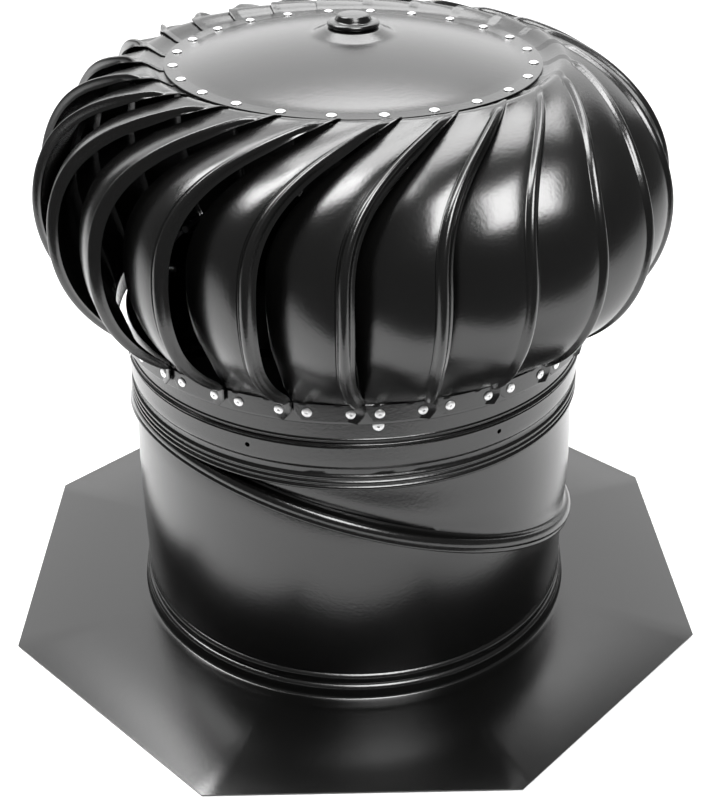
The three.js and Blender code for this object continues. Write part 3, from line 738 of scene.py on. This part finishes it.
class VENTILATOR_OT_vanes(Operator):
    """Model one vane with its ridge, flange, lip and tabs, and copy it round the rotor"""
    bl_idname = "ventilator.vanes"
    bl_label = "Vanes"

    def section(self, rotor, t, r):
        """Points across a vane: distance beyond the ridge's crest, along the surface, and height above it."""
        limit = 78 if t > 0 else FOOT_ANGLE - 1
        open_share = max(1 - abs(t / limit) ** (2.4 if t > 0 else 4), 0)
        ridge = ease(-58, -54, t) * (1 - ease(70, 74, t)) ** 0.5
        folded = ease(-56, -48, t) * (1 - ease(58, 72, t))
        ear = 1 - ease(-57, -53, t)
        top = ease(70, 76, t) * (1 - ease(80, 90, t))
        width = r * (VANE_PITCH - math.radians(0.5 + 1.5 * open_share))
        depth = rotor.louvre_depth * open_share
        lip = rotor.lip * open_share
        half = rotor.ridge_half
        inner = -width + half * (1 - folded) * 0.9
        start = -half - 1.6 * MM
        lean = 2.6 * MM * open_share
        points = [(inner - lean, -depth - lip), (inner - lean * 0.6, -depth - lip * 0.5),
                  (inner - lean * 0.1, -depth - 0.4 * MM * open_share)]
        for share in spread(0, 1, 19):
            shift = 0.4 * MM if share == 0 else 0
            # two short dimples lie along the crease, one near each end
            dimple = ease(-58.5, -57, t) * (1 - ease(-54.5, -53, t)) * max(
                1 - abs(share - 0.2) / 0.09, 1 - abs(share - 0.8) / 0.09, 0)
            points.append((inner + shift + (start - inner - shift) * share,
                           -depth * (1 - share) ** 1.35 + 0.7 * MM * dimple))
        points += [(start + 0.5 * MM, -0.4 * MM * ridge), (start + 1.1 * MM, -0.35 * MM * ridge)]
        for x in spread(-half, half, 11):
            across = (x + half) / (2 * half)
            bow = max(math.cos(math.pi / 2 * x / half), 0) ** 0.75
            raised = (ear * across * 2.2 + top * across * 0.8) * MM
            points.append((x, (ridge * bow * rotor.ridge_height) + raised))
        rest = (ear * 2.2 + top * 0.8) * MM
        edge = half + (0.9 + 1.5 * folded) * MM
        points += [(half + 0.35 * MM, rest - 0.5 * MM * folded),
                   (half + (0.6 + 0.6 * folded) * MM, rest - rotor.flange * folded * 0.6),
                   (edge, rest - rotor.flange * folded)]
        return points

    def build(self, rotor):
        levels = vane_levels()
        columns = len(self.section(rotor, 0, BULGE_R))
        deselect()
        # a flat grid of the vane's rows and columns, laid over its surface
        bpy.ops.mesh.primitive_grid_add(x_subdivisions=columns - 1, y_subdivisions=len(levels) - 1, size=1)
        piece = named(vane_nodes[0].replace("vane", "louvre_vane"))
        tab_bottom = levels[0][1]
        for row, (r, z, t) in enumerate(levels):
            r0, z0, _ = levels[max(row - 1, 0)]
            r1, z1, _ = levels[min(row + 1, len(levels) - 1)]
            along = Vector((r1 - r0, z1 - z0)).normalized()
            points = self.section(rotor, t, r)
            low, high = points[0][0], points[-1][0]
            corner = 4.2 * MM * max(1 - (z - tab_bottom) / (5 * MM), 0)
            squeeze = (high - low - 2 * corner) / (high - low)
            for column, (x, height) in enumerate(points):
                x = low + corner + (x - low) * squeeze
                azimuth = VANE_AZIMUTH + vane_sweep(t) + x / r
                radius = r + along.y * height
                vertex = piece.data.vertices[row * columns + column]
                vertex.co = (radius * math.cos(azimuth), radius * math.sin(azimuth), z - along.x * height)
        return piece

    def execute(self, context):
        rotor = context.scene.ventilator_rotor
        piece = self.build(rotor)
        edit(piece)
        bpy.ops.mesh.select_all(action="SELECT")
        bpy.ops.mesh.normals_make_consistent(inside=False)
        leave_edit()
        apply_modifier(piece, "SOLIDIFY", thickness=rotor.sheet, offset=0)
        smooth(piece, 40)
        names = [name.replace("vane", "louvre_vane") for name in vane_nodes]
        for copy, node in zip(copies_round(piece, names, VANE_PITCH), vane_nodes):
            fit_out(copy, "rotor", "black_paint", finish("sheet_gloss_paint"), node)
        return {"FINISHED"}


class VENTILATOR_OT_disc(Operator):
    """Model the domed top disc with its flange and boss"""
    bl_idname = "ventilator.disc"
    bl_label = "Top disc"

    def execute(self, context):
        duct = context.scene.ventilator_duct
        rise = 16 * MM

        def dome(r):
            return DISC_FLANGE_TOP + rise * (1 - (r / DISC_FOOT_R) ** 2)

        skin = [(DISC_R, DISC_FLANGE_TOP), (DISC_R - 0.5 * MM, DISC_FLANGE_TOP + 0.05 * MM)]
        skin += [(DISC_FOOT_R + 1.4 * MM, DISC_FLANGE_TOP)]
        skin += [(DISC_FOOT_R + 0.5 * MM, DISC_FLANGE_TOP + 0.15 * MM)]
        skin += [(DISC_FOOT_R - 1 * MM, dome(DISC_FOOT_R - 1 * MM) + 0.2 * MM)]
        steps = 26
        for i in range(steps + 1):
            r = DISC_FOOT_R - 3 * MM + (BOSS_R + 2 * MM - DISC_FOOT_R + 3 * MM) * i / steps
            skin.append((r, dome(r)))
        skin += [(BOSS_R + 0.8 * MM, dome(BOSS_R) + 0.1 * MM), (BOSS_R - 0.4 * MM, dome(BOSS_R) + 0.5 * MM)]
        skin += [(BOSS_TOP_R + 1.6 * MM, BOSS_TOP - 0.75 * MM), (BOSS_TOP_R + 0.6 * MM, BOSS_TOP - 0.25 * MM)]
        skin += [(BOSS_TOP_R - 0.6 * MM, BOSS_TOP), (HOUSING_R + 0.4 * MM, BOSS_TOP)]
        piece = spun("domed_top_disc", thickened(skin, duct.wall), duct.segments)
        smooth(piece)
        fit_out(piece, "rotor", "black_paint", finish("sheet_gloss_paint"), "top_disc")
        return {"FINISHED"}


class VENTILATOR_OT_housing(Operator):
    """Model the bearing housing: the knob on top and the skirt through the disc"""
    bl_idname = "ventilator.housing"
    bl_label = "Bearing housing"

    def execute(self, context):
        seat = BOSS_TOP + 0.3 * MM
        bore = HOUSING_R - 1.4 * MM
        top = [(0, KNOB_TOP)] + arc((8.4 * MM, KNOB_TOP - 1.5 * MM), 1.5 * MM, 90, 10, 7)
        neck = arc((12.4 * MM, seat + 4.9 * MM), 1.5 * MM, 185, 262, 6)
        rim = arc((14.3 * MM, seat + 1.7 * MM), 1.7 * MM, 80, -62, 10)
        skirt = [(HOUSING_R, seat + 0.1 * MM), (HOUSING_R, HOUSING_BOTTOM + 0.5 * MM),
                 (HOUSING_R - 0.5 * MM, HOUSING_BOTTOM), (bore, HOUSING_BOTTOM), (bore, seat - 5 * MM),
                 (bore - 1.6 * MM, seat - 5 * MM), (bore - 1.6 * MM, seat + 1 * MM), (0, seat + 1 * MM)]
        piece = spun("bearing_housing_knob", top + neck + rim + skirt, 96)
        smooth(piece, 35)
        fit_out(piece, "rotor", "black_paint", finish("sheet_gloss_paint"), "bearing_housing")
        return {"FINISHED"}


def rivet_profile(radius):
    """A domed head with the small well that its mandrel leaves, and its short shank below."""
    head = arc((radius - 0.35 * MM, 0.3 * MM), 0.35 * MM, -60, 60, 3)
    return ([(0, 0.5 * MM), (0.5 * MM, 0.5 * MM), (0.65 * MM, 0.98 * MM), (1 * MM, 1.06 * MM),
             (radius * 0.72, 0.92 * MM)] + head[::-1]
            + [(radius * 0.5, -0.05 * MM), (radius * 0.5, -1.2 * MM), (0, -1.2 * MM)])


class VENTILATOR_OT_rivets(Operator):
    """Model one blind rivet and set copies round the disc's flange and along the lower tabs"""
    bl_idname = "ventilator.rivets"
    bl_label = "Rivets"

    def execute(self, context):
        rotor = context.scene.ventilator_rotor
        seed = spun("rivet", rivet_profile(rotor.rivet_r), 20)
        smooth(seed, 50)
        disc_place = (Matrix.Rotation(VANE_AZIMUTH + math.radians(25.3), 4, "Z")
                      @ Matrix.Translation((DISC_FOOT_R + 4.5 * MM, 0, DISC_FLANGE_TOP)))
        outward = Matrix.Rotation(math.pi / 2, 4, "Y")
        places = {"disc_rivet": disc_place}
        for name, offset in (("tab_rivet_left", -8.2), ("tab_rivet_right", 0.9)):
            turn = Matrix.Rotation(VANE_AZIMUTH + math.radians(offset), 4, "Z")
            places[name] = turn @ Matrix.Translation((TAB_R + 0.3 * MM, 0, RING_BOTTOM + 8.1 * MM)) @ outward
        for kind, place in places.items():
            deselect()
            seed.select_set(True)
            bpy.context.view_layer.objects.active = seed
            bpy.ops.object.duplicate(linked=False)
            first = bpy.context.active_object
            names = [f"{kind}_{i + 1:02d}" for i in range(len(vane_nodes))]
            first.name = first.data.name = names[0]
            first.data.transform(place)
            for copy in copies_round(first, names, VANE_PITCH):
                fit_out(copy, "rotor", "zinc_plate", finish("satin_aluminium"))
        bpy.data.objects.remove(seed)
        return {"FINISHED"}


# ---------------------------------------------------------------- brace, shaft and bearings

def screw_profile(seat):
    """A pan head, its washer and its shank, along the screw's axis."""
    head = arc((2.4 * MM, seat + 1.1 * MM), 1.1 * MM, 0, 80, 5)
    return [(0, 142 * MM), (2 * MM, 142 * MM), (2 * MM, seat), (3.5 * MM, seat), (3.5 * MM, seat + 0.5 * MM)] \
        + head + [(0.9 * MM, seat + 2.2 * MM), (0.8 * MM, seat + 1.5 * MM), (0, seat + 1.5 * MM)]


class VENTILATOR_OT_brace(Operator):
    """Model the screws of the internal brace"""
    bl_idname = "ventilator.brace"
    bl_label = "Internal brace"

    def execute(self, context):
        seat = COLLAR_R + 0.4 * MM
        seed = spun("collar_screw_1", screw_profile(seat), 32)
        lay = Matrix.Translation((0, 0, SCREW_Z)) @ Matrix.Rotation(math.pi / 2, 4, "Y")
        seed.data.transform(Matrix.Rotation(LEG_AZIMUTH, 4, "Z") @ lay)
        smooth(seed, 40)
        names = [f"collar_screw_{i + 1}" for i in range(LEGS)]
        for i, copy in enumerate(copies_round(seed, names, TURN / LEGS), start=1):
            fit_out(copy, "upper_duct", "zinc_plate", finish("satin_aluminium"), f"brace_screw_{i}")
        return {"FINISHED"}


NODE_FINISHES = {
    "brace_paint": ["brace_hub", "brace_rod"],
    "bright_zinc": ["brace_wire", "brace_pin", "brace_nut", "shaft_nut", "housing_retainer"],
    "ground_steel": ["shaft", "shaft_clip", "bearing_inner_race", "bearing_outer_race", "ball_cage"],
    "oiled_bronze": ["lower_bush"],
}


class VENTILATOR_OT_inner_parts(Operator):
    """Finish the CAD pieces of the brace, the shaft and the bearings"""
    bl_idname = "ventilator.inner_parts"
    bl_label = "Shaft and bearings"

    def execute(self, context):
        for material, starts in NODE_FINISHES.items():
            for name, node in frame["nodes"].items():
                if name in starts or name.rsplit("_", 1)[0] in starts:
                    node.data.materials.clear()
                    node.data.materials.append(finish(material))
        return {"FINISHED"}


# ---------------------------------------------------------------- studio

def softbox(name, size, location, target, power):
    """A large soft rectangular light, aimed at a point."""
    light = bpy.data.lights.new(name, "AREA")
    light.shape = "RECTANGLE"
    light.size, light.size_y = size
    light.energy = power
    lamp = bpy.data.objects.new(name, light)
    lamp.location = location
    aim = Vector(target) - Vector(location)
    lamp.rotation_euler = aim.to_track_quat("-Z", "Y").to_euler()
    bpy.context.scene.collection.objects.link(lamp)


class VENTILATOR_OT_stage(Operator):
    """Set up the floor, the soft light and the camera"""
    bl_idname = "ventilator.stage"
    bl_label = "Studio"

    def execute(self, context):
        scene = context.scene
        studio = scene.ventilator_studio
        deselect()
        bpy.ops.mesh.primitive_plane_add(size=30, location=(0, 15 - studio.front, -0.4 * MM))
        floor = named("studio_floor")
        material, _, shader = new_material("pale_floor")
        shader.inputs["Base Color"].default_value = (*studio.floor, 1)
        shader.inputs["Roughness"].default_value = 0.9
        floor.data.materials.append(material)
        world = bpy.data.worlds.new("studio_world")
        scene.world = world
        world.use_nodes = True
        background = world.node_tree.nodes["Background"]
        background.inputs["Color"].default_value = (1, 1, 1, 1)
        background.inputs["Strength"].default_value = studio.ambient
        middle = (0, 0, 0.22)
        softbox("left_softbox", (0.5, 0.9), (-0.85, 0.25, 1.6), middle, studio.softbox * 0.6)
        softbox("right_softbox", (0.7, 1.0), (0.26, -0.8, 1.65), middle, studio.softbox)
        softbox("back_softbox", (5.2, 2.4), (0.0, 2.25, 1.5), middle, studio.softbox * 1.95)
        softbox("top_softbox", (1.5, 0.8), (-0.1, 0.8, 1.9), middle, studio.softbox * 0.8)
        camera_data = bpy.data.cameras.new("product_camera")
        camera_data.lens = studio.lens
        camera_data.sensor_width = 36
        camera = bpy.data.objects.new("product_camera", camera_data)
        camera.location = (-0.0167, -0.7984, 0.617)
        camera.rotation_euler = (math.radians(59.06), 0, math.radians(-1.43))
        scene.collection.objects.link(camera)
        scene.camera = camera
        scene.view_settings.view_transform = "Standard"
        return {"FINISHED"}


class VENTILATOR_PT_panel(Panel):
    """The steps that build the ventilator"""
    bl_label = "Roof Turbine Ventilator"
    bl_idname = "VENTILATOR_PT_panel"
    bl_space_type = "VIEW_3D"
    bl_region_type = "UI"
    bl_category = "Ventilator"

    def draw(self, context):
        scene = context.scene
        for step in STEPS:
            self.layout.operator(step.bl_idname)
        for settings in (scene.ventilator_duct, scene.ventilator_rotor, scene.ventilator_finish,
                         scene.ventilator_studio):
            column = self.layout.column(align=True)
            for key in settings.__annotations__:
                column.prop(settings, key)


STEPS = (
    VENTILATOR_OT_stage,
    VENTILATOR_OT_finishes,
    VENTILATOR_OT_flashing,
    VENTILATOR_OT_lower_pipe,
    VENTILATOR_OT_upper_pipe,
    VENTILATOR_OT_collar,
    VENTILATOR_OT_rotor_ring,
    VENTILATOR_OT_vanes,
    VENTILATOR_OT_disc,
    VENTILATOR_OT_housing,
    VENTILATOR_OT_rivets,
    VENTILATOR_OT_brace,
    VENTILATOR_OT_inner_parts,
)
SETTINGS = {
    "ventilator_duct": DuctSettings,
    "ventilator_rotor": RotorSettings,
    "ventilator_finish": FinishSettings,
    "ventilator_studio": StudioSettings,
}
CLASSES = (*SETTINGS.values(), *STEPS, VENTILATOR_PT_panel)


def register():
    for cls in CLASSES:
        bpy.utils.register_class(cls)
    for name, cls in SETTINGS.items():
        setattr(bpy.types.Scene, name, PointerProperty(type=cls))


def unregister():
    for name in SETTINGS:
        delattr(bpy.types.Scene, name)
    for cls in reversed(CLASSES):
        bpy.utils.unregister_class(cls)


def main():
    register()
    for step in STEPS:
        section, name = step.bl_idname.split(".")
        getattr(getattr(bpy.ops, section), name)()


if __name__ == "__main__":
    main()
